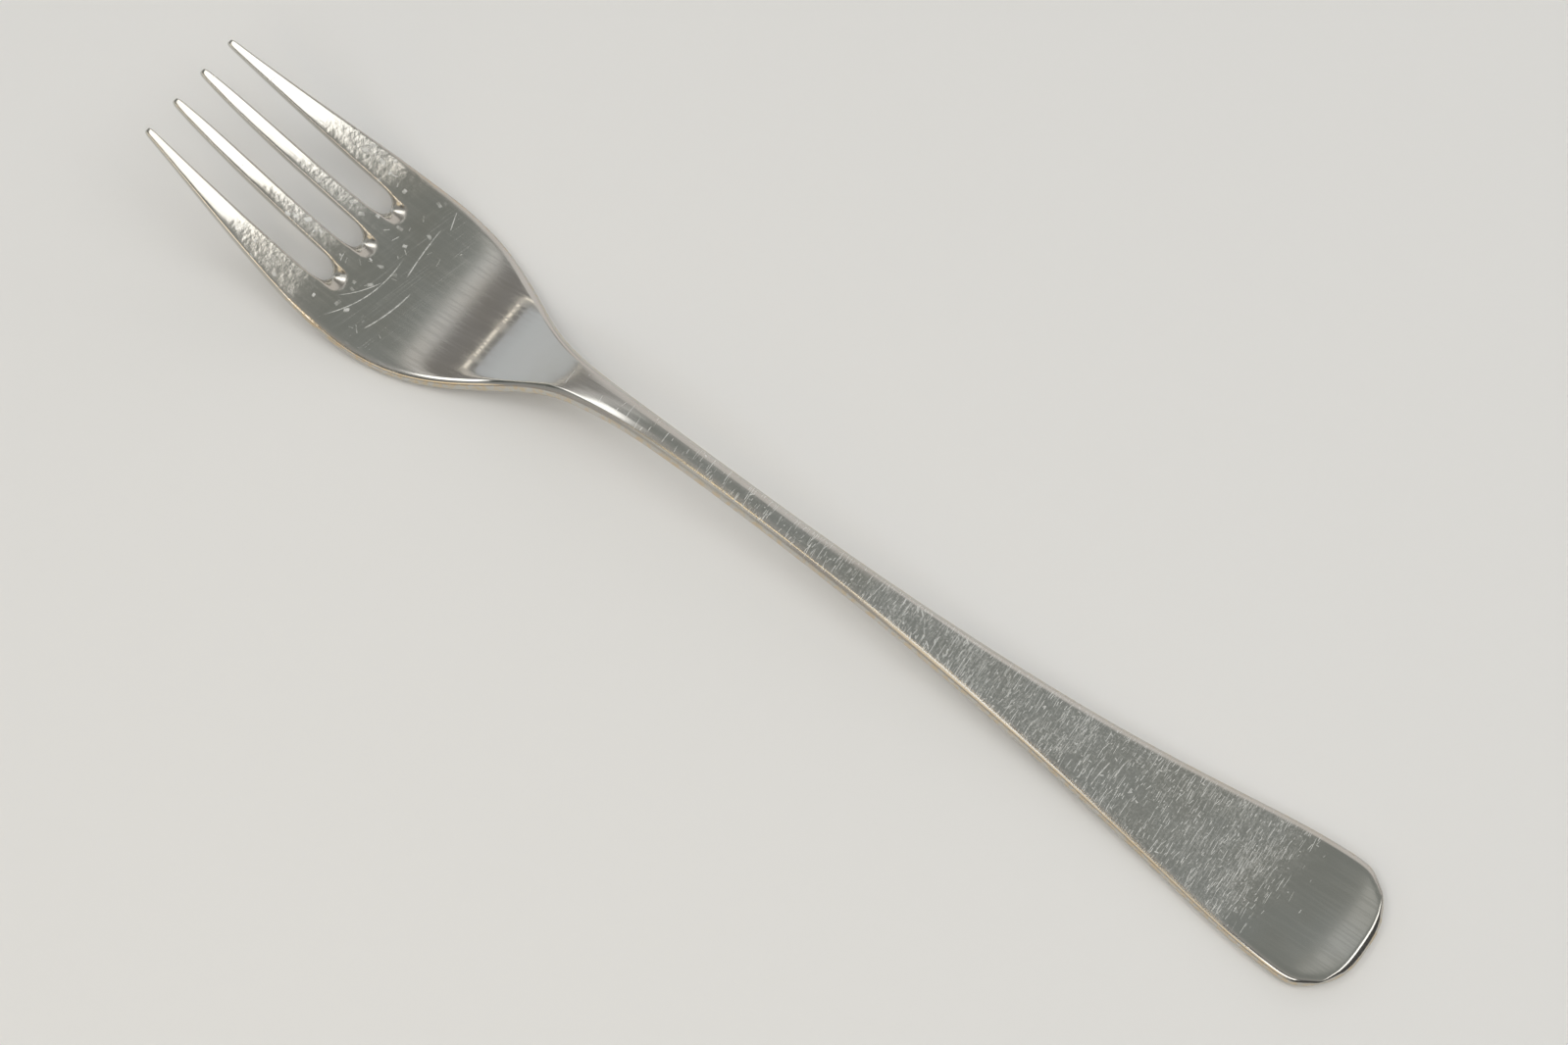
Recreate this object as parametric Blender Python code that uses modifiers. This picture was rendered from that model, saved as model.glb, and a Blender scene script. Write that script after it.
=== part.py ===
# Salad fork: one stamped metal blank, slotted into four tines, left thick at the stem and bent.
# Metres, +Z up, tines toward +X, mirror plane y = 0, resting on z = 0 with the middle of its length at x = 0.

import bpy
import bmesh

MM = 0.001

# Outline of the blank: full widths, at stations from the end of the handle that share out the length
LENGTH = 178.2 * MM
HANDLE_CORNER_WIDTH = 12.7 * MM
HANDLE_CORNER_AT = 1.9 * MM
HANDLE_WIDTH = 18.2 * MM
HANDLE_WIDEST_AT = 6.2 * MM
HANDLE_TAPER_WIDTH = 12.0 * MM
HANDLE_TAPER_AT = 0.1684 * LENGTH
STEM_WIDTH = 3.8 * MM
STEM_AT = 0.5331 * LENGTH
NECK_WIDTH = 6.0 * MM
NECK_AT = 0.6622 * LENGTH
HEEL_WIDTH = 14.0 * MM
HEEL_AT = 0.7183 * LENGTH
BOWL_WIDTH = 25.1 * MM
BOWL_WIDEST_AT = 0.8137 * LENGTH
TIP_SPAN = 16.6 * MM

# Slots and tines
SLOT_WIDTH = 3.4 * MM
SLOT_PITCH = 5.85 * MM
SLOT_ROOT_AT = 0.8544 * LENGTH
SLOT_SCOOP_LENGTH = 2.4 * MM
SLOT_SCOOP_DEPTH = 1.3 * MM
SLOT_BEND = 0.36 * SLOT_WIDTH
TINE_WIDTH = 2.15 * MM
TINE_TIP_WIDTH = 0.6 * MM
TINE_POINT_LENGTH = 10.0 * MM
TINE_ROUNDING = 0.3

# Thickness of the metal
HANDLE_END_THICKNESS = 1.5 * MM
HANDLE_THICKNESS = 2.0 * MM
STEM_THICKNESS = 2.9 * MM
BOWL_THICKNESS = 1.9 * MM
TIP_THICKNESS = 0.9 * MM
EDGE_ROUNDING = 0.5 * MM
EDGE_CROWN = 1.2 * MM
# The most that these two may take of the half-width and of the outer strip, where the stem is slim
SLIM_ROUNDING = 0.28
SLIM_CROWN = 0.75
# Shares of the thickness that are left at the very edge, half way into its rounding and at a tine's side
EDGE_SHARE = 0.42
ROUNDING_SHARE = 0.86
TINE_EDGE_SHARE = 0.7

# Side profile: heights of the middle of the metal above the table
HANDLE_FLAT_TO = 0.1235 * LENGTH
STEM_FOOT_HEIGHT = 2.9 * MM
STEM_FOOT_AT = 0.2806 * LENGTH
STEM_HEAD_HEIGHT = 7.5 * MM
ARCH_HEIGHT = 8.4 * MM
ARCH_AT = 0.6033 * LENGTH
RAMP_HEIGHT = 5.0 * MM
RAMP_AT = 0.679 * LENGTH
BOWL_LOWEST_HEIGHT = 0.8 * MM
BOWL_LOWEST_AT = 0.78 * LENGTH
TIP_HEIGHT = 15.9 * MM

# Each curve is a list of (station, value, slope) knots
OUTLINE = [
    (HANDLE_CORNER_AT, HANDLE_CORNER_WIDTH / 2, 0.95),
    (HANDLE_WIDEST_AT, HANDLE_WIDTH / 2, 0.0),
    (HANDLE_TAPER_AT, HANDLE_TAPER_WIDTH / 2, -0.14),
    (STEM_AT, STEM_WIDTH / 2, 0.0),
    (NECK_AT, NECK_WIDTH / 2, 0.16),
    (HEEL_AT, HEEL_WIDTH / 2, 0.57),
    (BOWL_WIDEST_AT, BOWL_WIDTH / 2, 0.0),
    (LENGTH, TIP_SPAN / 2, -0.14),
]
PROFILE = [
    (0.0, HANDLE_END_THICKNESS / 2, 0.06),
    (HANDLE_WIDEST_AT, HANDLE_THICKNESS / 2, 0.0),
    (HANDLE_FLAT_TO, HANDLE_THICKNESS / 2, 0.0),
    (STEM_FOOT_AT, STEM_FOOT_HEIGHT, 0.1),
    (STEM_AT, STEM_HEAD_HEIGHT, 0.1),
    (ARCH_AT, ARCH_HEIGHT, 0.0),
    (RAMP_AT, RAMP_HEIGHT, -0.46),
    (BOWL_LOWEST_AT, BOWL_LOWEST_HEIGHT, 0.0),
    (LENGTH, TIP_HEIGHT, 0.55),
]
THICKNESS = [
    (0.0, HANDLE_END_THICKNESS, 0.12),
    (HANDLE_WIDEST_AT, HANDLE_THICKNESS, 0.0),
    (HANDLE_FLAT_TO, HANDLE_THICKNESS, 0.0),
    (STEM_AT, STEM_THICKNESS, 0.0),
    (ARCH_AT, STEM_THICKNESS, 0.0),
    (BOWL_LOWEST_AT, BOWL_THICKNESS, 0.0),
    (LENGTH, TIP_THICKNESS, -0.03),
]
# Share of its thickness that the metal loses from the middle line to the edge
CROWN = [
    (HANDLE_TAPER_AT, 0.0, 0.0),
    (STEM_AT, 0.45, 0.0),
    (ARCH_AT, 0.45, 0.0),
    (HEEL_AT, 0.0, 0.0),
]


def along(curve, station):
    """Value of a curve at a station, held level beyond its two ends."""
    station = min(max(station, curve[0][0]), curve[-1][0])
    for start, end in zip(curve, curve[1:]):
        if station <= end[0]:
            break
    span = end[0] - start[0]
    t = (station - start[0]) / span
    level = start[1] + (end[1] - start[1]) * t * t * (3.0 - 2.0 * t)
    return level + span * t * (1.0 - t) * (start[2] * (1.0 - t) - end[2] * t)


def between(start, end, share=0.5):
    """Station, or size, a share of the way from one to another."""
    return start + (end - start) * share


def inner_tine(station):
    """Middle and half-width of an inner tine: slim past its root, then drawn to a point."""
    reach = max(0.0, station - SLOT_ROOT_AT) / (LENGTH - SLOT_ROOT_AT)
    middle = between(SLOT_PITCH / 2, (TIP_SPAN - TINE_TIP_WIDTH) / 6, reach)
    point_at = LENGTH - TINE_POINT_LENGTH
    root_width = SLOT_PITCH - SLOT_WIDTH
    width = along([(SLOT_ROOT_AT, root_width, 0.0), (point_at, TINE_WIDTH, 0.0)], station)
    point = max(0.0, station - point_at) / TINE_POINT_LENGTH
    return middle, between(width, TINE_TIP_WIDTH, point * point) / 2


def lines(station):
    """Distances from the mirror plane of the cage's lengthwise lines: three in each slot, then both
    sides of each tine, each with a line just inside it that keeps the edge tight."""
    edge = along(OUTLINE, station)
    middle, half = inner_tine(station)
    reach = max(0.0, station - SLOT_ROOT_AT) / (LENGTH - SLOT_ROOT_AT)
    outer = between(SLOT_PITCH + SLOT_WIDTH / 2, TIP_SPAN / 2 - TINE_TIP_WIDTH, reach)
    inset = TINE_ROUNDING * half
    tines = [0.0, SLOT_BEND, middle - half, middle - half + inset, middle + half - inset, middle + half,
             SLOT_PITCH - SLOT_BEND, SLOT_PITCH, SLOT_PITCH + SLOT_BEND, outer]
    if station >= SLOT_ROOT_AT:
        return tines + [outer + inset, edge - inset, edge]
    squeeze = edge / along(OUTLINE, SLOT_ROOT_AT)
    rounding = min(EDGE_ROUNDING, SLIM_ROUNDING * edge)
    crown_from = max(edge - EDGE_CROWN, between(edge, outer * squeeze, SLIM_CROWN))
    reach = max(0.0, station - BOWL_LOWEST_AT) / (SLOT_ROOT_AT - BOWL_LOWEST_AT)
    inner = between(crown_from, (outer + inset) * squeeze, reach)
    return [line * squeeze for line in tines] + [inner, edge - rounding, edge]


# The cage's cross rows: closest where the outline or the bend turns quickest
SCOOP_AT = SLOT_ROOT_AT - SLOT_SCOOP_LENGTH
BODY_ROWS = sorted([
    HANDLE_CORNER_AT, HANDLE_CORNER_AT + EDGE_ROUNDING, HANDLE_CORNER_AT + EDGE_CROWN,
    between(HANDLE_CORNER_AT, HANDLE_WIDEST_AT, 0.6), HANDLE_WIDEST_AT,
    between(HANDLE_WIDEST_AT, HANDLE_FLAT_TO), HANDLE_FLAT_TO, HANDLE_TAPER_AT,
    between(HANDLE_TAPER_AT, STEM_FOOT_AT), STEM_FOOT_AT, between(STEM_FOOT_AT, STEM_AT, 0.33),
    between(STEM_FOOT_AT, STEM_AT, 0.67), STEM_AT, between(STEM_AT, ARCH_AT), ARCH_AT,
    between(ARCH_AT, NECK_AT), NECK_AT, between(NECK_AT, HEEL_AT), HEEL_AT,
    between(HEEL_AT, BOWL_LOWEST_AT), BOWL_LOWEST_AT, BOWL_WIDEST_AT,
    between(SCOOP_AT, SLOT_ROOT_AT, -0.25), SCOOP_AT, between(SCOOP_AT, SLOT_ROOT_AT),
])
TINE_SHARES = (0.0, 0.12, 0.3, 0.5, 0.7, 0.86, 0.95, 1.0)
ROWS = BODY_ROWS + [between(SLOT_ROOT_AT, LENGTH, share) for share in TINE_SHARES]
ROOT_ROW = len(BODY_ROWS)
LINE_COUNT = len(lines(LENGTH))

# Lines by number: across each slot, the strips of cage that the slots remove, and the outline
SLOT_MIDDLES = (0, 7)
SLOT_BENDS = (1, 6, 8)
SLOT_SIDES = (2, 5, 9)
SLOT_STRIPS = (0, 1, 5, 6, 7, 8)
# Each such line's bow round the slot's end and its depth in the scoop, as shares of the whole
SLOT_LINES = {line: (0.0, 1.0) for line in SLOT_MIDDLES}
SLOT_LINES.update({line: (0.3, 0.8) for line in SLOT_BENDS})
SLOT_LINES.update({line: (1.0, 0.2) for line in SLOT_SIDES})
# How far the first rows bow toward the round end of the handle, and how full that end is
END_ROUNDNESS = 2.4
END_BOWS = (1.0, 0.94, 0.86, 0.6, 0.3, 0.1)
# How far the last rows before the tines bow round the end of a slot, and their share of the scoop's depth
ROOT_BOWS = (0.0, 0.3, 0.5, 0.75, 1.0)
SCOOP_SHARES = (0.0, 0.0, 0.0, 0.5, 1.0)


def edge_share(row, line):
    """Share of the thickness that is left where the metal rounds off, at the outline and along the tines."""
    from_outline = min(LINE_COUNT - 1 - line, row, len(ROWS) - 1 - row)
    if row > ROOT_ROW:
        return TINE_EDGE_SHARE if from_outline == 0 or line in SLOT_SIDES else 1.0
    return (EDGE_SHARE, ROUNDING_SHARE, 1.0)[min(from_outline, 2)]


def cage_point(row, line):
    """Place of one point of the half sheet, and the metal's thickness there."""
    bow, depth = SLOT_LINES.get(line, (1.0, 0.0))
    near_root = max(0, row - ROOT_ROW + len(ROOT_BOWS) - 1) if row <= ROOT_ROW else 0
    scoop = depth * SCOOP_SHARES[near_root] * SLOT_SCOOP_DEPTH
    station = ROWS[row] + bow * ROOT_BOWS[near_root] * SLOT_WIDTH / 2
    y = lines(station)[line]
    share = y / along(OUTLINE, station)
    thickness = along(THICKNESS, station) * (1.0 - along(CROWN, station) * share * share)
    z = along(PROFILE, station)
    if row < len(END_BOWS):
        station -= HANDLE_CORNER_AT * END_BOWS[row] * (1.0 - share ** END_ROUNDNESS)
    return (station - LENGTH / 2, y, z - scoop / 2), thickness * edge_share(row, line) - scoop


def half_sheet():
    """Flat grid laid on the middle of the metal, with the slots' strips taken out."""
    sheet = bmesh.new()
    bmesh.ops.create_grid(sheet, x_segments=len(ROWS) - 1, y_segments=LINE_COUNT - 1, size=1.0)
    weights = sheet.verts.layers.deform.verify()
    places = {}
    for vert in sheet.verts:
        row = round((vert.co.x + 1.0) / 2.0 * (len(ROWS) - 1))
        line = round((vert.co.y + 1.0) / 2.0 * (LINE_COUNT - 1))
        places[vert] = (row, line)
    slots = []
    for face in sheet.faces:
        first_row = min(places[vert][0] for vert in face.verts)
        first_line = min(places[vert][1] for vert in face.verts)
        if first_row >= ROOT_ROW and first_line in SLOT_STRIPS:
            slots.append(face)
    for vert, (row, line) in places.items():
        vert.co, thickness = cage_point(row, line)
        vert[weights][0] = thickness / STEM_THICKNESS
    bmesh.ops.delete(sheet, geom=slots, context="FACES")
    mesh = bpy.data.meshes.new("fork")
    sheet.to_mesh(mesh)
    sheet.free()
    mesh.shade_smooth()
    return mesh


def worn_silver():
    """Silver worn to a soft grey shine."""
    material = bpy.data.materials.new("worn_silver")
    material.use_nodes = True
    shader = material.node_tree.nodes["Principled BSDF"]
    shader.inputs["Base Color"].default_value = (0.62, 0.61, 0.58, 1.0)
    shader.inputs["Metallic"].default_value = 1.0
    shader.inputs["Roughness"].default_value = 0.28
    return material


def fork():
    """The half sheet mirrored, given its thickness and rounded."""
    part = bpy.data.objects.new("fork", half_sheet())
    part.vertex_groups.new(name="thickness")
    part.data.materials.append(worn_silver())

    mirror = part.modifiers.new("Other half", "MIRROR")
    mirror.use_axis = (False, True, False)
    mirror.merge_threshold = 0.00001

    metal = part.modifiers.new("Metal", "SOLIDIFY")
    metal.thickness = STEM_THICKNESS
    metal.vertex_group = "thickness"
    metal.offset = 0.0
    metal.use_even_offset = True

    smooth = part.modifiers.new("Rounding", "SUBSURF")
    smooth.levels = 1
    smooth.render_levels = 1
    return part


for old in list(bpy.data.objects):
    bpy.data.objects.remove(old, do_unlink=True)
collection = bpy.data.collections.new("Salad fork")
bpy.context.scene.collection.children.link(collection)
collection.objects.link(fork())
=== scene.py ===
import math

import bmesh
import bpy
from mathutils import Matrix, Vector


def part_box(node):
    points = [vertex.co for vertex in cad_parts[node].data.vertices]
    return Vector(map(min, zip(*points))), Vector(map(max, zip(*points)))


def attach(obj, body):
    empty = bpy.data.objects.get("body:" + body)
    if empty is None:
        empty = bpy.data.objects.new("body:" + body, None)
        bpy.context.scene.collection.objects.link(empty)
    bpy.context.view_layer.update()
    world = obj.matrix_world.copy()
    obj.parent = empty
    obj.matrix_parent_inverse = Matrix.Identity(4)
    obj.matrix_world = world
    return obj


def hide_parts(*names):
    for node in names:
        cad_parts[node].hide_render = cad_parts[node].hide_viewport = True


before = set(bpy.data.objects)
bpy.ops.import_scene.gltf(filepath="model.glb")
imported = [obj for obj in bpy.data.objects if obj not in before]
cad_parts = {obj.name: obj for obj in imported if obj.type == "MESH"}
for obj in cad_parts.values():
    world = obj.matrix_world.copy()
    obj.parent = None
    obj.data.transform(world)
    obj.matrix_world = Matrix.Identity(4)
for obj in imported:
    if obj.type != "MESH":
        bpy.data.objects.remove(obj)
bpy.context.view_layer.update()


# Fork
# One strip of metal: stamped to its outline, slotted into four tines, rolled thin toward both ends
# and left thick at the stem. A press bends it over a die, and it is then plated and polished.

MM = 0.001
lowest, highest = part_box("fork")

# Sizes of the flat blank, at stations measured from the end of the handle; widths are full widths
DRAWN_IN = 0.04 * MM  # by the smoothing, at each end
LENGTH = highest.x - lowest.x + 2 * DRAWN_IN
START_X = lowest.x - DRAWN_IN
HANDLE_CORNER_WIDTH = 12.7 * MM
HANDLE_CORNER_AT = 1.9 * MM
HANDLE_WIDTH = 18.2 * MM
HANDLE_WIDEST_AT = 6.2 * MM
HANDLE_TAPER_WIDTH = 12.0 * MM
HANDLE_TAPER_AT = 0.1684 * LENGTH
STEM_WIDTH = 3.8 * MM
STEM_AT = 0.5331 * LENGTH
NECK_WIDTH = 6.0 * MM
NECK_AT = 0.6622 * LENGTH
HEEL_WIDTH = 14.0 * MM
HEEL_AT = 0.7183 * LENGTH
BOWL_WIDTH = 25.1 * MM
BOWL_WIDEST_AT = 0.8137 * LENGTH
TIP_SPAN = 16.6 * MM
SLOT_WIDTH = 3.4 * MM
SLOT_PITCH = 5.85 * MM
SLOT_ROOT_AT = 0.8544 * LENGTH
SLOT_SCOOP_LENGTH = 2.4 * MM
SLOT_SCOOP_DEPTH = 1.3 * MM
SLOT_BEND = 0.36 * SLOT_WIDTH
TINE_WIDTH = 2.15 * MM
TINE_TIP_WIDTH = 0.9 * MM
TINE_POINT_LENGTH = 10.0 * MM
TIP_ROUNDING = 0.5 * MM
TIP_FULLNESS = 0.8
TINE_ROUNDING = 0.16
HANDLE_END_THICKNESS = 1.5 * MM
HANDLE_THICKNESS = 2.0 * MM
STEM_THICKNESS = 2.9 * MM
BOWL_THICKNESS = 1.9 * MM
TIP_THICKNESS = 0.9 * MM
EDGE_ROUNDING = 0.5 * MM
HANDLE_END_ROUNDING = 0.72 * MM
HANDLE_END_FLAT = 0.92 * MM
EDGE_CROWN = 1.2 * MM
# The most that rounding and crown may take of the half-width and of the outer strip of a slim stem
SLIM_ROUNDING = 0.28
SLIM_CROWN = 0.75
# Shares of the thickness that are left at the very edge, half way into its rounding and at a tine's side
EDGE_SHARE = 0.42
ROUNDING_SHARE = 0.86
END_ROUNDING_SHARE = 0.98
TINE_EDGE_SHARE = 0.86

# Heights of the die above the table, at its own stations, and its slopes at both ends
HANDLE_FLAT_TO = 0.1235 * LENGTH
STEM_FOOT_HEIGHT = 2.9 * MM
STEM_FOOT_AT = 0.2806 * LENGTH
STEM_HEAD_HEIGHT = 7.5 * MM
ARCH_HEIGHT = 8.3 * MM
ARCH_AT = 0.5892 * LENGTH
BEND_HEIGHT = 6.95 * MM
BEND_AT = 0.6566 * LENGTH
RAMP_HEIGHT = 5.2 * MM
RAMP_AT = 0.6846 * LENGTH
BOWL_LOWEST_HEIGHT = 0.8 * MM
BOWL_LOWEST_AT = 0.78 * LENGTH
TIP_HEIGHT = 15.9 * MM
HANDLE_END_SLOPE = 0.06
TIP_SLOPE = 0.55
DIE_OVERHANG = 1.0 * MM

# Each curve is a list of (station, value, slope) knots
OUTLINE = [
    (HANDLE_CORNER_AT, HANDLE_CORNER_WIDTH / 2, 1.15),
    (HANDLE_WIDEST_AT, HANDLE_WIDTH / 2, 0.0),
    (HANDLE_TAPER_AT, HANDLE_TAPER_WIDTH / 2, -0.14),
    (STEM_AT, STEM_WIDTH / 2, 0.0),
    (NECK_AT, NECK_WIDTH / 2, 0.16),
    (HEEL_AT, HEEL_WIDTH / 2, 0.57),
    (BOWL_WIDEST_AT, BOWL_WIDTH / 2, 0.0),
    (LENGTH, TIP_SPAN / 2, -0.14),
]
THICKNESS = [
    (0.0, HANDLE_END_THICKNESS, 0.12),
    (HANDLE_WIDEST_AT, HANDLE_THICKNESS, 0.0),
    (HANDLE_FLAT_TO, HANDLE_THICKNESS, 0.0),
    (STEM_AT, STEM_THICKNESS, 0.0),
    (ARCH_AT, STEM_THICKNESS, 0.0),
    (BOWL_LOWEST_AT, BOWL_THICKNESS, 0.0),
    (LENGTH, TIP_THICKNESS, -0.03),
]
# Share of its thickness that the metal loses from the middle line to the edge
CROWN = [
    (HANDLE_TAPER_AT, 0.0, 0.0),
    (STEM_AT, 0.45, 0.0),
    (ARCH_AT, 0.45, 0.0),
    (HEEL_AT, 0.0, 0.0),
]
DIE = [
    (-DIE_OVERHANG, HANDLE_END_THICKNESS / 2 - HANDLE_END_SLOPE * DIE_OVERHANG, HANDLE_END_SLOPE),
    (HANDLE_WIDEST_AT, HANDLE_THICKNESS / 2, 0.0),
    (HANDLE_FLAT_TO, HANDLE_THICKNESS / 2, 0.0),
    (STEM_FOOT_AT, STEM_FOOT_HEIGHT, 0.1),
    (STEM_AT, STEM_HEAD_HEIGHT, 0.1),
    (ARCH_AT, ARCH_HEIGHT, 0.0),
    (BEND_AT, BEND_HEIGHT, -0.2),
    (RAMP_AT, RAMP_HEIGHT, -0.5),
    (BOWL_LOWEST_AT, BOWL_LOWEST_HEIGHT, 0.0),
    (LENGTH, TIP_HEIGHT, TIP_SLOPE),
    (LENGTH + DIE_OVERHANG, TIP_HEIGHT + TIP_SLOPE * DIE_OVERHANG, TIP_SLOPE),
]


def along(curve, station):
    """Value of a curve at a station, held level beyond its two ends."""
    station = min(max(station, curve[0][0]), curve[-1][0])
    for start, end in zip(curve, curve[1:]):
        if station <= end[0]:
            break
    span = end[0] - start[0]
    t = (station - start[0]) / span
    level = start[1] + (end[1] - start[1]) * t * t * (3.0 - 2.0 * t)
    return level + span * t * (1.0 - t) * (start[2] * (1.0 - t) - end[2] * t)


def between(start, end, share=0.5):
    """Station, or size, a share of the way from one to another."""
    return start + (end - start) * share


def inner_tine(station):
    """Middle and half-width of an inner tine: slim past its root, then drawn to a point."""
    reach = max(0.0, station - SLOT_ROOT_AT) / (LENGTH - SLOT_ROOT_AT)
    middle = between(SLOT_PITCH / 2, (TIP_SPAN - TINE_TIP_WIDTH) / 6, reach)
    point_at = LENGTH - TINE_POINT_LENGTH
    root_width = SLOT_PITCH - SLOT_WIDTH
    width = along([(SLOT_ROOT_AT, root_width, 0.0), (point_at, TINE_WIDTH, 0.0)], station)
    point = max(0.0, station - point_at) / TINE_POINT_LENGTH
    return middle, between(width, TINE_TIP_WIDTH, point * point) / 2


def off_tip(station):
    """What the rounding of a tine's tip takes off each of its sides."""
    reach = max(0.0, station - LENGTH + TIP_ROUNDING) / TIP_ROUNDING
    return TINE_TIP_WIDTH / 2 * (1.0 - math.sqrt(1.0 - TIP_FULLNESS * reach * reach))


def lines(station):
    """Distances from the mirror plane of the blank's lengthwise lines: three in each slot, then both
    sides of each tine, each with a line just inside it that keeps the edge tight."""
    edge = along(OUTLINE, station) - off_tip(station)
    middle, half = inner_tine(station)
    half -= off_tip(station)
    reach = max(0.0, station - SLOT_ROOT_AT) / (LENGTH - SLOT_ROOT_AT)
    outer = between(SLOT_PITCH + SLOT_WIDTH / 2, TIP_SPAN / 2 - TINE_TIP_WIDTH, reach) + off_tip(station)
    inset = TINE_ROUNDING * half
    tines = [0.0, SLOT_BEND, middle - half, middle - half + inset, middle + half - inset, middle + half,
             SLOT_PITCH - SLOT_BEND, SLOT_PITCH, SLOT_PITCH + SLOT_BEND, outer]
    if station >= SLOT_ROOT_AT:
        return tines + [outer + inset, edge - inset, edge]
    squeeze = edge / along(OUTLINE, SLOT_ROOT_AT)
    rounding = min(EDGE_ROUNDING, SLIM_ROUNDING * edge)
    crown_from = max(edge - EDGE_CROWN, between(edge, outer * squeeze, SLIM_CROWN))
    reach = max(0.0, station - BOWL_LOWEST_AT) / (SLOT_ROOT_AT - BOWL_LOWEST_AT)
    inner = between(crown_from, (outer + inset) * squeeze, reach)
    return [line * squeeze for line in tines] + [inner, edge - rounding, edge]


# Cross rows of the blank: closest where the outline or the bend turns quickest
SCOOP_AT = SLOT_ROOT_AT - SLOT_SCOOP_LENGTH
BODY_ROWS = sorted([
    HANDLE_CORNER_AT, HANDLE_CORNER_AT + HANDLE_END_ROUNDING, HANDLE_CORNER_AT + HANDLE_END_FLAT,
    between(HANDLE_CORNER_AT, HANDLE_WIDEST_AT, 0.6), HANDLE_WIDEST_AT,
    between(HANDLE_WIDEST_AT, HANDLE_FLAT_TO), HANDLE_FLAT_TO, between(HANDLE_FLAT_TO, STEM_FOOT_AT),
    STEM_FOOT_AT, between(STEM_FOOT_AT, STEM_AT, 0.33), between(STEM_FOOT_AT, STEM_AT, 0.67), STEM_AT,
    ARCH_AT, between(ARCH_AT, NECK_AT), between(ARCH_AT, NECK_AT, 0.8),
    NECK_AT, between(NECK_AT, HEEL_AT, 0.35), between(NECK_AT, HEEL_AT, 0.7),
    HEEL_AT, between(HEEL_AT, BOWL_LOWEST_AT), BOWL_LOWEST_AT, BOWL_WIDEST_AT,
    between(SCOOP_AT, SLOT_ROOT_AT, -0.25), SCOOP_AT, between(SCOOP_AT, SLOT_ROOT_AT),
])
TINE_SHARES = (0.0, 0.12, 0.34, 0.6, 0.84, 0.95, 0.98, 0.995, 1.0)
ROWS = BODY_ROWS + [between(SLOT_ROOT_AT, LENGTH, share) for share in TINE_SHARES]
ROOT_ROW = len(BODY_ROWS)
LINE_COUNT = len(lines(LENGTH))

# Lines by number: across each slot, and the strips of the blank that the slots remove
SLOT_MIDDLES = (0, 7)
SLOT_BENDS = (1, 6, 8)
SLOT_SIDES = (2, 5, 9)
SLOT_STRIPS = (0, 1, 5, 6, 7, 8)
# Each such line's bow round the slot's end and its depth in the scoop, as shares of the whole
SLOT_LINES = {line: (0.0, 1.0) for line in SLOT_MIDDLES}
SLOT_LINES.update({line: (0.3, 0.62) for line in SLOT_BENDS})
SLOT_LINES.update({line: (1.0, 0.12) for line in SLOT_SIDES})
# How far the first rows bow toward the round end of the handle, and how full that end is
END_ROUNDNESS = 2.9
END_BOWS = (1.0, 0.94, 0.91, 0.6, 0.3, 0.1)
# How far the last rows before the tines bow round the end of a slot, and their share of the scoop's depth
ROOT_BOWS = (0.0, 0.3, 0.5, 0.75, 1.0)
SCOOP_SHARES = (0.0, 0.0, 0.0, 0.5, 1.0)


def edge_share(row, line):
    """Share of the thickness left where the metal rounds off, at the outline and along the tines."""
    from_outline = min(LINE_COUNT - 1 - line, row, len(ROWS) - 1 - row)
    if row > ROOT_ROW:
        return TINE_EDGE_SHARE if from_outline == 0 or line in SLOT_SIDES else 1.0
    if row == 1 and from_outline == 1:
        return END_ROUNDING_SHARE
    return (EDGE_SHARE, ROUNDING_SHARE, 1.0)[min(from_outline, 2)]


def blank_point(row, line):
    """Place of one point of the flat blank, its thickness and its scoop's depth; its height is coined."""
    bow, depth = SLOT_LINES.get(line, (1.0, 0.0))
    near_root = max(0, row - ROOT_ROW + len(ROOT_BOWS) - 1) if row <= ROOT_ROW else 0
    scoop = depth * SCOOP_SHARES[near_root] * SLOT_SCOOP_DEPTH
    station = ROWS[row] + bow * ROOT_BOWS[near_root] * SLOT_WIDTH / 2
    y = lines(station)[line]
    share = y / along(OUTLINE, station)
    thickness = along(THICKNESS, station) * (1.0 - along(CROWN, station) * share * share)
    coined = -scoop / 2
    if row < len(END_BOWS):
        level = along(DIE, station)
        station -= HANDLE_CORNER_AT * END_BOWS[row] * (1.0 - share ** END_ROUNDNESS)
        coined += level - along(DIE, station)
    return (START_X + station, y, coined), thickness * edge_share(row, line) - scoop, scoop


def half_blank():
    """Half of the flat blank as a grid with the strips of the slots punched out."""
    sheet = bmesh.new()
    bmesh.ops.create_grid(sheet, x_segments=len(ROWS) - 1, y_segments=LINE_COUNT - 1, size=1.0)
    weights = sheet.verts.layers.deform.verify()
    worn = sheet.verts.layers.float.new("edge")
    scooped = sheet.verts.layers.float.new("scoop")
    places = {}
    for vert in sheet.verts:
        row = round((vert.co.x + 1.0) / 2.0 * (len(ROWS) - 1))
        line = round((vert.co.y + 1.0) / 2.0 * (LINE_COUNT - 1))
        places[vert] = (row, line)
    slots = []
    for face in sheet.faces:
        first_row = min(places[vert][0] for vert in face.verts)
        first_line = min(places[vert][1] for vert in face.verts)
        if first_row >= ROOT_ROW and first_line in SLOT_STRIPS:
            slots.append(face)
    for vert, (row, line) in places.items():
        vert.co, thickness, scoop = blank_point(row, line)
        vert[weights][0] = thickness / STEM_THICKNESS
        vert[worn] = (1.0 - edge_share(row, line)) / (1.0 - EDGE_SHARE)
        vert[scooped] = scoop / SLOT_SCOOP_DEPTH
    bmesh.ops.delete(sheet, geom=slots, context="FACES")
    mesh = bpy.data.meshes.new("fork_blank")
    sheet.to_mesh(mesh)
    sheet.free()
    mesh.shade_smooth()
    return mesh


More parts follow.
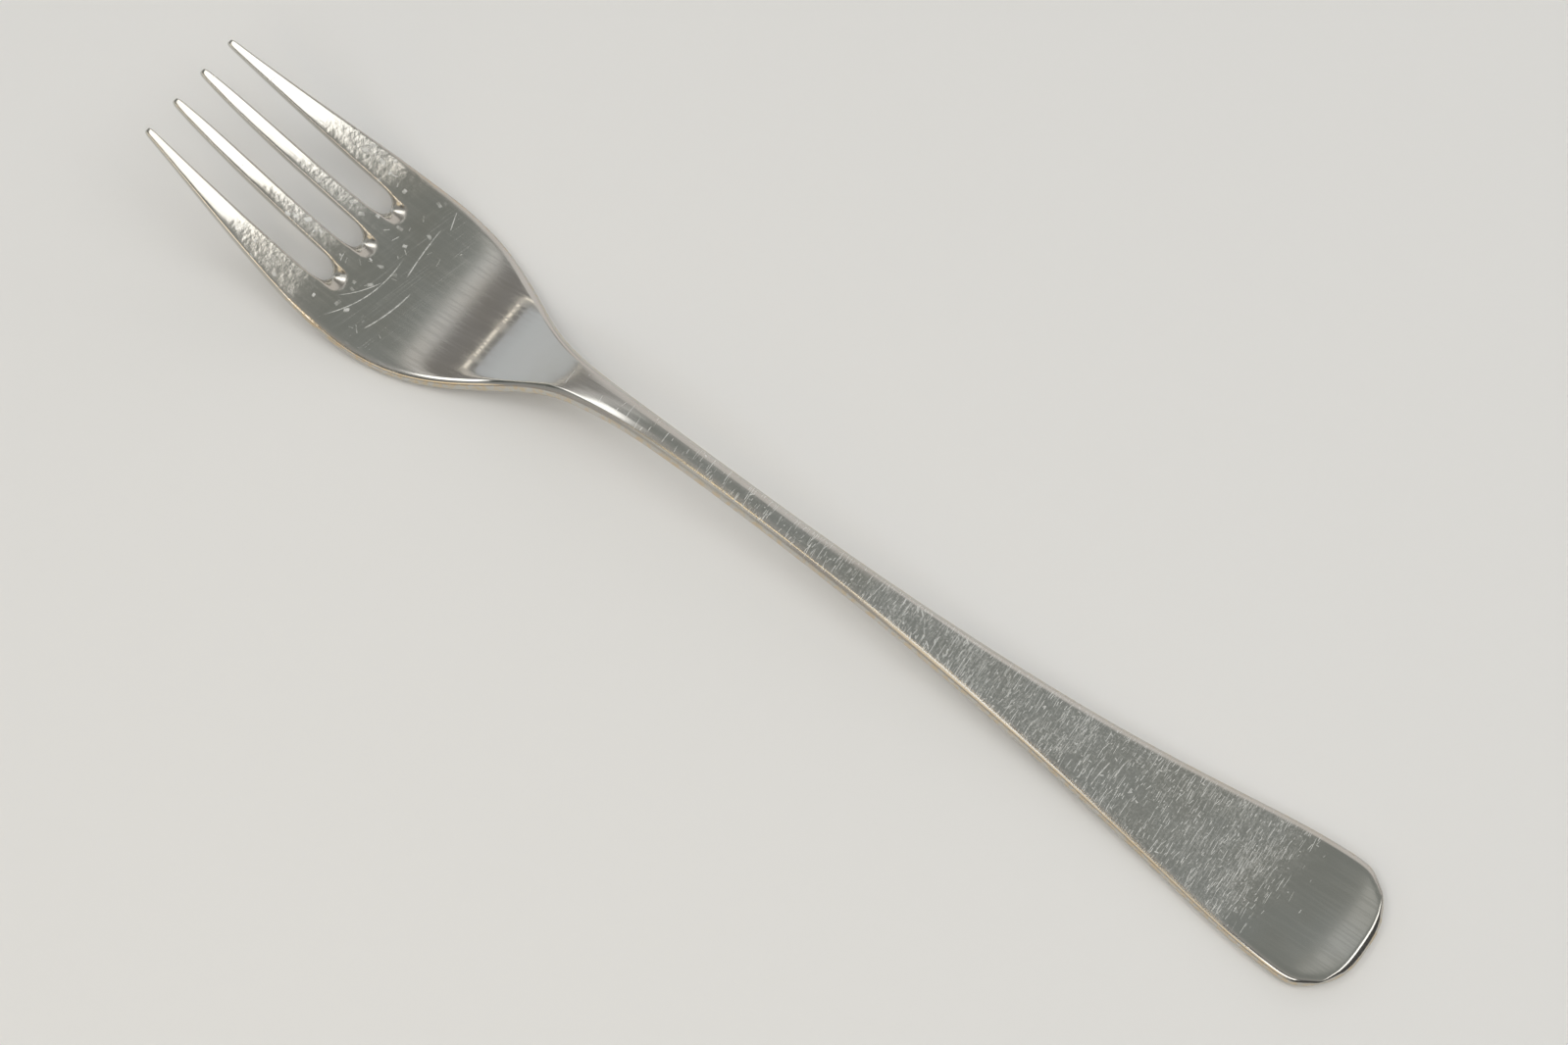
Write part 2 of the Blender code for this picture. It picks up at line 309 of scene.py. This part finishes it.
def add_node(tree, kind, **values):
    """A new node of a tree, with the values of its named inputs set."""
    node = tree.nodes.new(kind)
    for name, value in values.items():
        node.inputs[name.replace("_", " ")].default_value = value
    return node


def press_tree():
    """Lays every point of the blank on the die below it and keeps the relief coined into the blank."""
    tree = bpy.data.node_groups.new("Press", "GeometryNodeTree")
    tree.interface.new_socket("Blank", in_out="INPUT", socket_type="NodeSocketGeometry")
    tree.interface.new_socket("Die Width", in_out="INPUT", socket_type="NodeSocketFloat")
    tree.interface.new_socket("Die Facets", in_out="INPUT", socket_type="NodeSocketInt")
    tree.interface.new_socket("Metal", in_out="INPUT", socket_type="NodeSocketMaterial")
    tree.interface.new_socket("Pressed", in_out="OUTPUT", socket_type="NodeSocketGeometry")
    link = tree.links.new
    sizes = tree.nodes.new("NodeGroupInput")
    result = tree.nodes.new("NodeGroupOutput")

    # Die: a ribbon whose side profile is one Bezier piece between each two knots
    profile = tree.nodes.new("GeometryNodeJoinGeometry")
    for start, end in zip(DIE, DIE[1:]):
        third = (end[0] - start[0]) / 3
        piece = add_node(
            tree, "GeometryNodeCurvePrimitiveBezierSegment",
            Start=(START_X + start[0], 0.0, start[1]),
            Start_Handle=(START_X + start[0] + third, 0.0, start[1] + third * start[2]),
            End_Handle=(START_X + end[0] - third, 0.0, end[1] - third * end[2]),
            End=(START_X + end[0], 0.0, end[1]),
        )
        link(sizes.outputs["Die Facets"], piece.inputs["Resolution"])
        link(piece.outputs["Curve"], profile.inputs["Geometry"])
    edge = tree.nodes.new("GeometryNodeCurveToMesh")
    link(profile.outputs["Geometry"], edge.inputs["Curve"])
    across = tree.nodes.new("ShaderNodeCombineXYZ")
    link(sizes.outputs["Die Width"], across.inputs["Y"])
    ribbon = tree.nodes.new("GeometryNodeExtrudeMesh")
    ribbon.mode = "EDGES"
    link(edge.outputs["Mesh"], ribbon.inputs["Mesh"])
    link(across.outputs["Vector"], ribbon.inputs["Offset"])
    half_back = add_node(tree, "ShaderNodeVectorMath")
    half_back.operation = "SCALE"
    half_back.inputs["Scale"].default_value = -0.5
    link(across.outputs["Vector"], half_back.inputs[0])
    die = tree.nodes.new("GeometryNodeTransform")
    link(ribbon.outputs["Mesh"], die.inputs["Geometry"])
    link(half_back.outputs["Vector"], die.inputs["Translation"])

    # Stroke: each point drops onto the die
    place = tree.nodes.new("GeometryNodeInputPosition")
    parts = tree.nodes.new("ShaderNodeSeparateXYZ")
    link(place.outputs["Position"], parts.inputs["Vector"])
    above = add_node(tree, "ShaderNodeCombineXYZ", Z=1.0)
    link(parts.outputs["X"], above.inputs["X"])
    link(parts.outputs["Y"], above.inputs["Y"])
    stroke = add_node(tree, "GeometryNodeRaycast", Ray_Length=2.0)
    link(die.outputs["Geometry"], stroke.inputs["Target Geometry"])
    link(above.outputs["Vector"], stroke.inputs["Source Position"])
    relief = tree.nodes.new("ShaderNodeCombineXYZ")
    link(parts.outputs["Z"], relief.inputs["Z"])
    landed = add_node(tree, "ShaderNodeVectorMath")
    link(stroke.outputs["Hit Position"], landed.inputs[0])
    link(relief.outputs["Vector"], landed.inputs[1])
    bend = tree.nodes.new("GeometryNodeSetPosition")
    link(sizes.outputs["Blank"], bend.inputs["Geometry"])
    link(stroke.outputs["Is Hit"], bend.inputs["Selection"])
    link(landed.outputs["Vector"], bend.inputs["Position"])

    solid = tree.nodes.new("GeometryNodeRealizeInstances")
    link(bend.outputs["Geometry"], solid.inputs["Geometry"])
    metal = tree.nodes.new("GeometryNodeSetMaterial")
    link(solid.outputs["Geometry"], metal.inputs["Geometry"])
    link(sizes.outputs["Metal"], metal.inputs["Material"])
    link(metal.outputs["Geometry"], result.inputs["Pressed"])
    return tree


def set_input(modifier, name, value):
    """Sets a Geometry Nodes modifier's input, found by its name, through its socket's identifier."""
    for item in modifier.node_group.interface.items_tree:
        if item.item_type == "SOCKET" and item.in_out == "INPUT" and item.name == name:
            modifier[item.identifier] = value


# Helpers that add shader nodes to a tree and join them up


def feed(tree, socket, value):
    """Joins an output to a node's input, or sets the input to a plain value."""
    if isinstance(value, bpy.types.NodeSocket):
        tree.links.new(value, socket)
    else:
        socket.default_value = value


def maths(tree, operation, first, second=0.0):
    """One sum on two numbers."""
    node = tree.nodes.new("ShaderNodeMath")
    node.operation = operation
    feed(tree, node.inputs[0], first)
    feed(tree, node.inputs[1], second)
    return node.outputs["Value"]


def vectors(tree, operation, first, second, answer="Vector"):
    """One sum on two vectors."""
    node = tree.nodes.new("ShaderNodeVectorMath")
    node.operation = operation
    feed(tree, node.inputs[0], first)
    feed(tree, node.inputs[1], second)
    return node.outputs[answer]


def fade(tree, value, start, end, first=0.0, last=1.0):
    """Smooth change from one number to another while a value goes from start to end."""
    node = tree.nodes.new("ShaderNodeMapRange")
    node.interpolation_type = "SMOOTHSTEP"
    feed(tree, node.inputs["Value"], value)
    feed(tree, node.inputs["From Min"], start)
    feed(tree, node.inputs["From Max"], end)
    feed(tree, node.inputs["To Min"], first)
    feed(tree, node.inputs["To Max"], last)
    return node.outputs["Result"]


def clouds(tree, place, size, detail=2.0):
    """Soft random value near 0.5 whose patches have a given size."""
    node = add_node(tree, "ShaderNodeTexNoise", Scale=1.0 / size, Detail=detail)
    feed(tree, node.inputs["Vector"], place)
    return node.outputs["Fac"]


def blend(tree, share, first, second):
    """Mix of two colours."""
    node = tree.nodes.new("ShaderNodeMix")
    node.data_type = "RGBA"
    feed(tree, node.inputs["Factor"], share)
    for name, value in (("A", first), ("B", second)):
        socket = next(s for s in node.inputs if s.name == name and s.type == "RGBA")
        feed(tree, socket, value)
    return next(s for s in node.outputs if s.type == "RGBA")


def turned(tree, place, angle):
    """A place seen in axes turned about Z, so that X lies along a scratch."""
    node = tree.nodes.new("ShaderNodeVectorRotate")
    node.rotation_type = "Z_AXIS"
    node.invert = True
    feed(tree, node.inputs["Vector"], place)
    feed(tree, node.inputs["Angle"], angle)
    parts = tree.nodes.new("ShaderNodeSeparateXYZ")
    tree.links.new(node.outputs["Vector"], parts.inputs["Vector"])
    return parts.outputs["X"], parts.outputs["Y"]


def effect_group(name, vector_inputs, number_inputs):
    """A shader group with the given inputs and one output, the strength of its effect."""
    tree = bpy.data.node_groups.new(name, "ShaderNodeTree")
    for label in vector_inputs:
        tree.interface.new_socket(label, in_out="INPUT", socket_type="NodeSocketVector")
    for label in number_inputs:
        tree.interface.new_socket(label, in_out="INPUT", socket_type="NodeSocketFloat")
    tree.interface.new_socket("Strength", in_out="OUTPUT", socket_type="NodeSocketFloat")
    given = tree.nodes.new("NodeGroupInput")
    result = tree.nodes.new("NodeGroupOutput")
    return tree, given.outputs, result.inputs["Strength"]


def effect(tree, group, **values):
    """Uses an effect group and gives back its strength."""
    node = tree.nodes.new("ShaderNodeGroup")
    node.node_tree = group
    for name, value in values.items():
        feed(tree, node.inputs[name], value)
    return node.outputs["Strength"]


def wiping_marks():
    """Dense faint parallel marks, as wiping and stacking leave on soft metal."""
    tree, given, strength = effect_group("Wiping marks", ["Place"], ["Turn", "Length", "Width", "Rarity"])
    lengthwise, across = turned(tree, given["Place"], given["Turn"])
    stretched = tree.nodes.new("ShaderNodeCombineXYZ")
    feed(tree, stretched.inputs["X"], maths(tree, "DIVIDE", lengthwise, given["Length"]))
    feed(tree, stretched.inputs["Y"], maths(tree, "DIVIDE", across, given["Width"]))
    grain = clouds(tree, stretched.outputs["Vector"], 1.0)
    full = maths(tree, "ADD", given["Rarity"], 0.12)
    feed(tree, strength, fade(tree, grain, given["Rarity"], full))
    return tree


def nicks():
    """Scattered short scratches, one in each long cell, with their own turns and lengths."""
    tree, given, strength = effect_group(
        "Nicks", ["Place"], ["Turn", "Spread", "Length", "Spacing", "Width", "Share"])
    lengthwise, across = turned(tree, given["Place"], given["Turn"])
    cell = tree.nodes.new("ShaderNodeCombineXYZ")
    feed(tree, cell.inputs["X"], maths(tree, "DIVIDE", lengthwise, given["Length"]))
    feed(tree, cell.inputs["Y"], maths(tree, "DIVIDE", across, given["Spacing"]))
    cells = add_node(tree, "ShaderNodeTexVoronoi", Scale=1.0)
    cells.voronoi_dimensions = "2D"
    feed(tree, cells.inputs["Vector"], cell.outputs["Vector"])
    chance = tree.nodes.new("ShaderNodeSeparateColor")
    tree.links.new(cells.outputs["Color"], chance.inputs["Color"])
    size = tree.nodes.new("ShaderNodeCombineXYZ")
    feed(tree, size.inputs["X"], given["Length"])
    feed(tree, size.inputs["Y"], given["Spacing"])
    from_middle = vectors(tree, "SUBTRACT", cell.outputs["Vector"], cells.outputs["Position"])
    near = vectors(tree, "MULTIPLY", from_middle, size.outputs["Vector"])
    off_turn = maths(tree, "MULTIPLY", maths(tree, "SUBTRACT", chance.outputs["Red"], 0.5), given["Spread"])
    lengthwise, across = turned(tree, near, off_turn)
    half_share = fade(tree, chance.outputs["Green"], 0.0, 1.0, 0.15, 0.6)
    half = maths(tree, "MULTIPLY", given["Length"], half_share)
    from_centre = maths(tree, "DIVIDE", maths(tree, "ABSOLUTE", lengthwise), half)
    in_length = fade(tree, from_centre, 0.6, 1.0, 1.0, 0.0)
    from_line = maths(tree, "DIVIDE", maths(tree, "ABSOLUTE", across), given["Width"])
    in_width = fade(tree, from_line, 0.2, 0.6, 1.0, 0.0)
    present = maths(tree, "LESS_THAN", chance.outputs["Blue"], given["Share"])
    depth = fade(tree, chance.outputs["Blue"], 0.0, given["Share"], 1.0, 0.35)
    present = maths(tree, "MULTIPLY", present, depth)
    feed(tree, strength, maths(tree, "MULTIPLY", present, maths(tree, "MULTIPLY", in_length, in_width)))
    return tree


def long_scratch():
    """One long scratch between two points, bowed to one side."""
    tree, given, strength = effect_group("Long scratch", ["Place", "Start", "End"], ["Bow", "Width"])
    chord = vectors(tree, "SUBTRACT", given["End"], given["Start"])
    length = vectors(tree, "LENGTH", chord, chord, "Value")
    way = vectors(tree, "NORMALIZE", chord, chord)
    near = vectors(tree, "SUBTRACT", given["Place"], given["Start"])
    share = maths(tree, "DIVIDE", vectors(tree, "DOT_PRODUCT", near, way, "Value"), length)
    side = vectors(tree, "CROSS_PRODUCT", (0.0, 0.0, 1.0), way)
    across = vectors(tree, "DOT_PRODUCT", near, side, "Value")
    curve = maths(tree, "MULTIPLY", share, maths(tree, "SUBTRACT", 1.0, share))
    curve = maths(tree, "MULTIPLY", maths(tree, "MULTIPLY", curve, 4.0), given["Bow"])
    from_line = maths(tree, "ABSOLUTE", maths(tree, "SUBTRACT", across, curve))
    in_width = fade(tree, maths(tree, "DIVIDE", from_line, given["Width"]), 0.2, 0.6, 1.0, 0.0)
    begun = fade(tree, share, 0.0, 0.15)
    in_length = maths(tree, "MULTIPLY", begun, fade(tree, share, 0.85, 1.0, 1.0, 0.0))
    feed(tree, strength, maths(tree, "MULTIPLY", in_width, in_length))
    return tree


def strongest(tree, *strengths):
    """The greatest of several strengths."""
    greatest = strengths[0]
    for strength in strengths[1:]:
        greatest = maths(tree, "MAXIMUM", greatest, strength)
    return greatest


def stretch(tree, station, begins, full_from, full_to, ends):
    """Strength of an effect that covers one stretch of the fork and fades out at both its ends."""
    begun = fade(tree, station, begins, full_from)
    return maths(tree, "MULTIPLY", begun, fade(tree, station, ends, full_to))


# Silver plate: mirror-like on the ramp, dull in the bowl, dented at the roots of the tines, covered with
# fine scratches across the handle, and worn to a warm metal along the edges. Its sizes are in millimetres.

PLATE = (0.60, 0.59, 0.56, 1.0)
TARNISH = (0.53, 0.50, 0.44, 1.0)
SCRATCHED = (0.88, 0.89, 0.87, 1.0)
WARM_METAL = (0.66, 0.50, 0.28, 1.0)
ACROSS = math.radians(90.0)
# Long scratches: (station, distance from the middle line) of both ends, bow, width
LONG_SCRATCHES = [
    ((149.8, 10.9), (146.7, -2.1), -1.4, 0.16),
    ((144.7, 0.3), (145.5, -8.1), 0.15, 0.18),
    ((144.5, -8.4), (145.6, -11.2), 0.0, 0.16),
    ((144.7, 9.0), (143.0, 1.1), -0.35, 0.2),
    ((149.9, 7.5), (146.6, 2.3), -0.3, 0.12),
    ((37.2, 3.6), (36.9, -0.7), 0.1, 0.16),
    ((35.4, 1.0), (35.3, -2.2), 0.2, 0.18),
]

silver = bpy.data.materials.new("worn_silver")
silver.use_nodes = True
plate = silver.node_tree
shader = plate.nodes["Principled BSDF"]

coordinates = plate.nodes.new("ShaderNodeTexCoord")
from_end = vectors(plate, "SUBTRACT", coordinates.outputs["Object"], (START_X, 0.0, 0.0))
place = vectors(plate, "MULTIPLY", from_end, (1.0 / MM, 1.0 / MM, 1.0 / MM))
split = plate.nodes.new("ShaderNodeSeparateXYZ")
plate.links.new(place, split.inputs["Vector"])
station = split.outputs["X"]
edge = add_node(plate, "ShaderNodeAttribute")
edge.attribute_name = "edge"
scoop = add_node(plate, "ShaderNodeAttribute")
scoop.attribute_name = "scoop"

# Where each kind of wear lies along the fork, from the handle's end to the tines
patches = clouds(plate, place, 5.0, 3.0)
ragged = maths(plate, "ADD", station, maths(plate, "MULTIPLY", patches, 8.0))
on_handle = maths(plate, "MULTIPLY", fade(plate, ragged, 13.5, 22.0), fade(plate, station, 124.0, 60.0))
crowded = maths(plate, "MULTIPLY", on_handle, fade(plate, patches, 0.34, 0.64, 0.55, 1.0))
hazy_handle = stretch(plate, station, 13.0, 19.0, 24.0, 30.0)
hazy_stem = stretch(plate, station, 46.0, 58.0, 68.0, 84.0)
worn_patch = stretch(plate, station, 56.0, 61.0, 65.0, 70.0)
before_neck = fade(plate, station, 108.0, 75.0)
satin_neck = stretch(plate, station, 80.0, 100.0, 116.0, 121.0)
dull_bowl = stretch(plate, station, 132.0, 137.0, 158.0, 165.0)
on_bowl = fade(plate, station, 138.0, 146.0)
in_hollow = stretch(plate, station, 138.0, 142.0, 147.0, 152.0)
near_roots = stretch(plate, station, 143.0, 149.0, 158.0, 165.0)
beside_scoops = fade(plate, scoop.outputs["Fac"], 0.0, 0.25, 1.0, 0.0)
on_roots = maths(plate, "MULTIPLY", stretch(plate, station, 147.0, 152.0, 160.0, 166.0), beside_scoops)

# Wiping marks: polishing lines off the handle, faint arcs in the bowl, and a veil over the scratches
wiping = wiping_marks()
polish = effect(plate, wiping, Place=place, Turn=0.04, Length=9.0, Width=0.35, Rarity=0.46)
polish = maths(plate, "MULTIPLY", polish, maths(plate, "SUBTRACT", 1.0, on_handle))
wiped = effect(plate, wiping, Place=place, Turn=ACROSS - 0.2, Length=9.0, Width=0.16, Rarity=0.56)
wiped = maths(plate, "MULTIPLY", wiped, maths(plate, "MULTIPLY", in_hollow, 0.2))
veil = effect(plate, wiping, Place=place, Turn=ACROSS + 0.06, Length=2.6, Width=0.17, Rarity=0.45)
hazy = fade(plate, maths(plate, "ADD", hazy_handle, hazy_stem), 0.0, 1.0, 0.1, 0.22)
veil = maths(plate, "MULTIPLY", veil, maths(plate, "MULTIPLY", crowded, hazy))
grain = fade(plate, clouds(plate, place, 0.3, 3.0), 0.44, 0.68)
grain = maths(plate, "MULTIPLY", grain, maths(plate, "MULTIPLY", crowded, 0.25))
veil = maths(plate, "ADD", veil, grain)

nick = nicks()


def scattered(where, share, turn, spread, length, spacing, width):
    """One family of nicks: where it lies, the share of its cells that hold one, and its sizes."""
    return effect(
        plate, nick, Place=place, Turn=turn, Spread=spread, Length=length, Spacing=spacing, Width=width,
        Share=maths(plate, "MULTIPLY", where, share))


fine = scattered(crowded, 0.45, ACROSS + 0.08, 0.14, length=2.4, spacing=0.22, width=0.085)
finer = scattered(crowded, 0.5, ACROSS - 0.05, 0.4, length=1.0, spacing=0.26, width=0.1)
bold = scattered(crowded, 0.2, ACROSS + 0.05, 0.3, length=2.0, spacing=0.7, width=0.15)
specks = scattered(crowded, 0.14, 0.6, 3.0, length=0.5, spacing=0.5, width=0.2)
knocks = scattered(worn_patch, 0.65, ACROSS + 0.5, 0.9, length=1.3, spacing=0.55, width=0.22)
bowl_nicks = scattered(on_bowl, 0.1, ACROSS, 2.6, length=1.2, spacing=1.2, width=0.13)
pits = scattered(near_roots, 0.12, 0.6, 2.0, length=0.9, spacing=0.9, width=0.55)
nicked = strongest(plate, bold, specks, knocks, bowl_nicks, pits)

scratch = long_scratch()
flat_place = vectors(plate, "MULTIPLY", place, (1.0, 1.0, 0.0))
for start, end, bow, width in LONG_SCRATCHES:
    mark = effect(
        plate, scratch, Place=flat_place, Start=(*start, 0.0), End=(*end, 0.0), Bow=bow, Width=width)
    nicked = strongest(plate, nicked, mark)
broken = fade(plate, clouds(plate, place, 0.6, 3.0), 0.35, 0.6, 0.45, 1.0)
marks = strongest(plate, maths(plate, "MULTIPLY", nicked, broken), fine, finer, veil, wiped)
marks = maths(plate, "MULTIPLY", marks, fade(plate, edge.outputs["Fac"], 0.06, 0.3, 1.0, 0.0))

# Colour: cloudy plate, lighter scratches, warm worn edges
cloudy = fade(plate, clouds(plate, place, 9.0, 3.0), 0.35, 0.68)
dull = maths(plate, "ADD", maths(plate, "MULTIPLY", cloudy, 0.4), maths(plate, "MULTIPLY", on_bowl, 0.3))
colour = blend(plate, dull, PLATE, TARNISH)
colour = blend(plate, maths(plate, "MULTIPLY", marks, 0.8), colour, SCRATCHED)
patchy = fade(plate, clouds(plate, place, 0.7, 3.0), 0.4, 0.62)
worn = maths(plate, "MULTIPLY", fade(plate, edge.outputs["Fac"], 0.35, 0.9), patchy)
colour = blend(plate, maths(plate, "MULTIPLY", worn, 0.55), colour, WARM_METAL)
feed(plate, shader.inputs["Base Color"], colour)
feed(plate, shader.inputs["Metallic"], maths(plate, "SUBTRACT", 1.0, maths(plate, "MULTIPLY", marks, 0.55)))

# Shine: the roughness of the polished ramp, and what each kind of wear adds to it
shine = 0.08
for where, more in (
    (before_neck, 0.06),
    (on_handle, 0.08),
    (satin_neck, 0.1),
    (dull_bowl, 0.1),
    (on_roots, 0.02),
    (polish, 0.05),
    (marks, 0.25),
):
    shine = maths(plate, "ADD", maths(plate, "MULTIPLY", where, more), shine)
feed(plate, shader.inputs["Roughness"], shine)

# Relief in millimetres: dents at the roots of the tines, a faint wave all over, and the scratches
dents = maths(plate, "MULTIPLY", clouds(plate, place, 0.8, 2.0), maths(plate, "MULTIPLY", on_roots, 0.036))
wave = maths(plate, "MULTIPLY", clouds(plate, place, 5.0, 1.0), 0.012)
grooves = maths(plate, "MULTIPLY", marks, -0.001)
relief = maths(plate, "ADD", maths(plate, "ADD", dents, wave), grooves)
bump = add_node(plate, "ShaderNodeBump", Strength=1.0, Distance=MM)
feed(plate, bump.inputs["Height"], relief)
feed(plate, shader.inputs["Normal"], bump.outputs["Normal"])

# The blank goes through the press, gets its other half and its thickness, and is rounded off
blank = bpy.data.objects.new("fork_blank", half_blank())
blank.vertex_groups.new(name="thickness")
bpy.context.scene.collection.objects.link(blank)

press = blank.modifiers.new("Press", "NODES")
press.node_group = press_tree()
set_input(press, "Die Width", 2 * BOWL_WIDTH)
set_input(press, "Die Facets", 64)
set_input(press, "Metal", silver)

mirror = blank.modifiers.new("Other half", "MIRROR")
mirror.use_axis = (False, True, False)
mirror.merge_threshold = 0.01 * MM

metal = blank.modifiers.new("Metal", "SOLIDIFY")
metal.thickness = STEM_THICKNESS
metal.vertex_group = "thickness"
metal.offset = 0.0
metal.use_even_offset = True

smooth = blank.modifiers.new("Rounding", "SUBSURF")
smooth.levels = smooth.render_levels = 3

seen = blank.evaluated_get(bpy.context.evaluated_depsgraph_get())
fork = bpy.data.objects.new("fork_metal", bpy.data.meshes.new_from_object(seen))
bpy.data.objects.remove(blank)
bpy.context.scene.collection.objects.link(fork)
fork.data.shade_smooth()
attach(fork, "root")
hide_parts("fork")


# Table
# A plain pale sheet of matt paper that the fork lies on. It is loose, and so wide that its edge
# never comes near the fork.

TABLE_SIDE = 30.0
PALE = (0.86, 0.86, 0.85, 1.0)

bpy.ops.mesh.primitive_plane_add(size=TABLE_SIDE)
table = bpy.context.object
table.name = "table"
paper = bpy.data.materials.new("pale_paper")
paper.use_nodes = True
paper_shader = paper.node_tree.nodes["Principled BSDF"]
paper_shader.inputs["Base Color"].default_value = PALE
paper_shader.inputs["Roughness"].default_value = 0.9
paper_shader.inputs["Specular IOR Level"].default_value = 0.1
table.data.materials.append(paper)


# Studio
# A grey room with soft lamps and cards, each placed by the compass bearing and height that it is seen at
# from the fork. Polished metal shows what is around it, so the room also has brighter and darker parts.


def direction(bearing, height):
    """Unit vector toward a bearing, in degrees from +X toward +Y, and a height in degrees."""
    flat = math.cos(math.radians(height))
    return Vector((
        flat * math.cos(math.radians(bearing)),
        flat * math.sin(math.radians(bearing)),
        math.sin(math.radians(height)),
    ))


def soft_lamp(name, bearing, height, distance, size, radiance, colour, aim=(0.0, 0.0, 0.0)):
    """Rectangular soft lamp that faces the fork, with the brightness that a mirror would show."""
    lamp = bpy.data.lights.new(name, "AREA")
    lamp.shape = "RECTANGLE"
    lamp.size, lamp.size_y = size
    lamp.energy = radiance * math.pi * size[0] * size[1]
    lamp.color = colour
    stand = bpy.data.objects.new(name, lamp)
    toward = direction(bearing, height)
    stand.location = Vector(aim) + toward * distance
    stand.rotation_euler = toward.to_track_quat("Z", "Y").to_euler()
    stand.visible_camera = False
    bpy.context.scene.collection.objects.link(stand)
    return stand


WHITE = (1.0, 0.99, 0.97)
CREAM = (1.0, 0.93, 0.80)
COOL = (0.84, 0.92, 1.0)
ROSE = (1.0, 0.92, 0.88)
GOLD = (1.0, 0.76, 0.42)
# Places on the fork that a lamp is aimed at
TINES = (0.075, 0.0, 0.012)
BOWL = (0.048, 0.0, 0.001)
RAMP = (0.03, 0.0, 0.004)
STEM = (0.004, 0.0, 0.008)
HANDLE_END = (-0.0845, 0.0, 0.002)

# The light on the table and the white shine of the tines and of the scoops; the fill has no mirror image
soft_lamp("key", 202.0, 48.0, 3.0, (1.8, 1.3), 1.9, WHITE, TINES)
soft_lamp("window", 106.0, 45.0, 1.0, (0.5, 0.22), 2.6, WHITE)
fill = soft_lamp("fill", 150.0, 70.0, 1.2, (1.2, 1.2), 0.8, WHITE)
fill.visible_glossy = False
# The pale field and its cream rim on the ramp, then the soft bands on the bowl and the handle's end
soft_lamp("front_card", 1.0, 18.0, 0.8, (1.3, 0.55), 0.36, COOL, RAMP)
soft_lamp("card_top", -5.0, 39.2, 0.8, (0.9, 0.014), 1.6, CREAM, RAMP)
soft_lamp("bowl_band", -33.5, 58.8, 0.8, (0.42, 0.11), 0.5, WHITE, BOWL)
soft_lamp("end_glow", -105.0, 71.0, 0.2, (0.024, 0.05), 0.3, WHITE, HANDLE_END)
# The warm line along the near edge and the rosy one along the far edge
soft_lamp("gold_line", 84.0, 57.0, 0.25, (0.06, 0.028), 3.5, GOLD, STEM)
soft_lamp("gold_side", 84.0, 29.0, 0.8, (0.43, 0.25), 0.8, GOLD)
soft_lamp("far_side", -80.0, 26.0, 0.9, (1.2, 0.75), 0.4, ROSE)

LOW_WALLS = (0.42, 0.40, 0.38, 1.0)
UPPER_WALLS = (0.37, 0.37, 0.36, 1.0)
DARK = (0.09, 0.09, 0.09, 1.0)
# Parts of the room: bearing, height, cosines of the angles at which it begins and is full, colour
ROOM_PARTS = {
    "bright spot on the neck": (20.0, 55.0, 0.975, 0.99, (2.8, 2.77, 2.72, 1.0)),
    "dark corner beside it": (30.0, 38.0, 0.97, 0.99, (0.12, 0.13, 0.12, 1.0)),
    "ceiling over the handle": (-86.0, 73.0, 0.88, 0.95, (0.276, 0.292, 0.28, 1.0)),
    "dusk beyond the handle's end": (185.0, 12.0, 0.72, 0.86, DARK),
    "dusk beside the tines": (138.0, 25.0, 0.8, 0.9, DARK),
    "shade between the gold lamps": (88.0, 50.0, 0.96, 0.99, (0.05, 0.05, 0.05, 1.0)),
    "gap above the card": (-22.0, 47.0, 0.94, 0.99, (0.28, 0.27, 0.26, 1.0)),
}

room = bpy.data.worlds.new("room")
room.use_nodes = True
air = room.node_tree
way = air.nodes.new("ShaderNodeTexCoord").outputs["Generated"]
upward = vectors(air, "DOT_PRODUCT", way, (0.0, 0.0, 1.0), "Value")
light = blend(air, fade(air, upward, 0.05, 0.55), LOW_WALLS, UPPER_WALLS)
for bearing, height, begins, full, tone in ROOM_PARTS.values():
    nearness = vectors(air, "DOT_PRODUCT", way, direction(bearing, height), "Value")
    light = blend(air, fade(air, nearness, begins, full), light, tone)
feed(air, air.nodes["Background"].inputs["Color"], light)
bpy.context.scene.world = room


# Camera
# It looks steeply down at the fork from the handle's side, at the angle of the photograph.
# Its place was found from the fork's mirror symmetry.

LOOK_AT = Vector((-1.946, -2.674, 0.0)) * MM
VIEW_BEARING = 126.892
VIEW_HEIGHT = 67.849
VIEW_DISTANCE = 411.19 * MM

eye = bpy.data.cameras.new("camera")
eye.sensor_width = 36.0
eye.lens = 76.55
eye.clip_start = 0.01
camera = bpy.data.objects.new("camera", eye)
toward_camera = direction(VIEW_BEARING, VIEW_HEIGHT)
camera.location = LOOK_AT + toward_camera * VIEW_DISTANCE
camera.rotation_euler = toward_camera.to_track_quat("Z", "Y").to_euler()
bpy.context.scene.collection.objects.link(camera)
bpy.context.scene.camera = camera
bpy.context.scene.view_settings.view_transform = "Standard"
